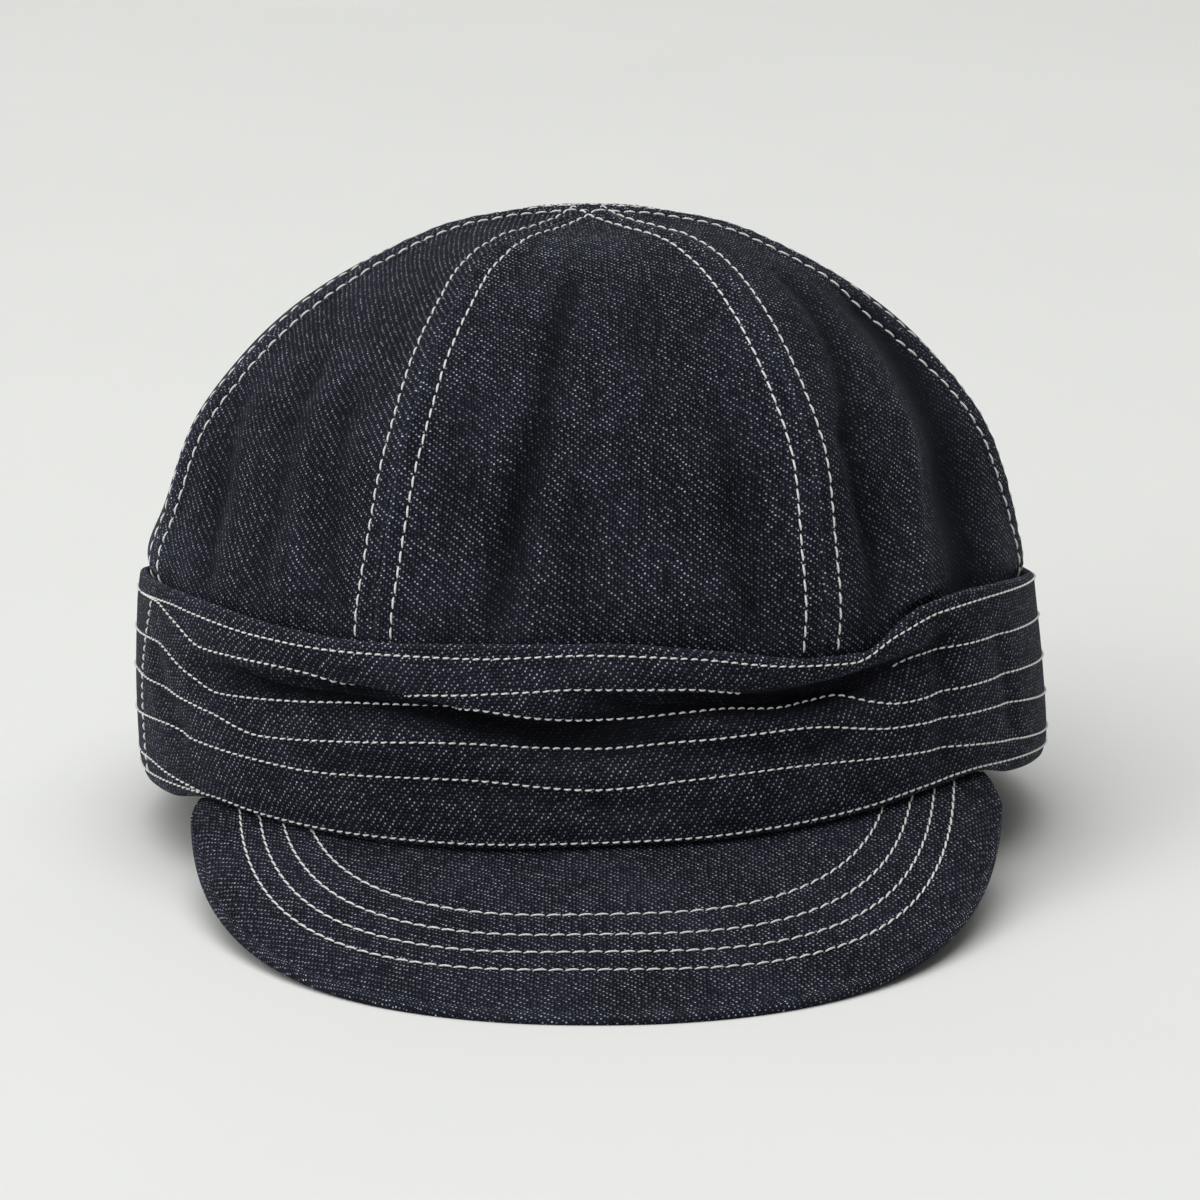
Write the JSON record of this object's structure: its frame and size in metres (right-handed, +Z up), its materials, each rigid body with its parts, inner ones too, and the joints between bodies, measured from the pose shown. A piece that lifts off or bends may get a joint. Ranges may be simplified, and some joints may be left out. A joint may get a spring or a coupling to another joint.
{
  "type": "six-panel denim cap with a folded band and a short rounded peak",
  "caption": "Soft denim cap with a gored crown, a deep creased band and a short rounded peak, open underneath for a head; it lies on its band and the edge of its peak.",
  "frame": {"origin": "on the floor under the middle of the cap's box, as the cap lies on a flat surface", "axes": "+Z up, -Y towards the tip of the peak, +X to the right of somebody who faces the front of the cap"},
  "size_m": [0.1884, 0.2558, 0.1264],
  "materials": {
    "denim": "raw dark indigo cotton twill, matt, with fine pale weft specks",
    "thread": "cream cotton topstitching thread, matt"
  },
  "bodies": {
    "root": {"crown_front": "denim", "crown_front_right": "denim", "crown_back_right": "denim", "crown_back": "denim", "crown_back_left": "denim", "crown_front_left": "denim", "band": "denim", "peak": "denim"}
  },
  "joints": []
}
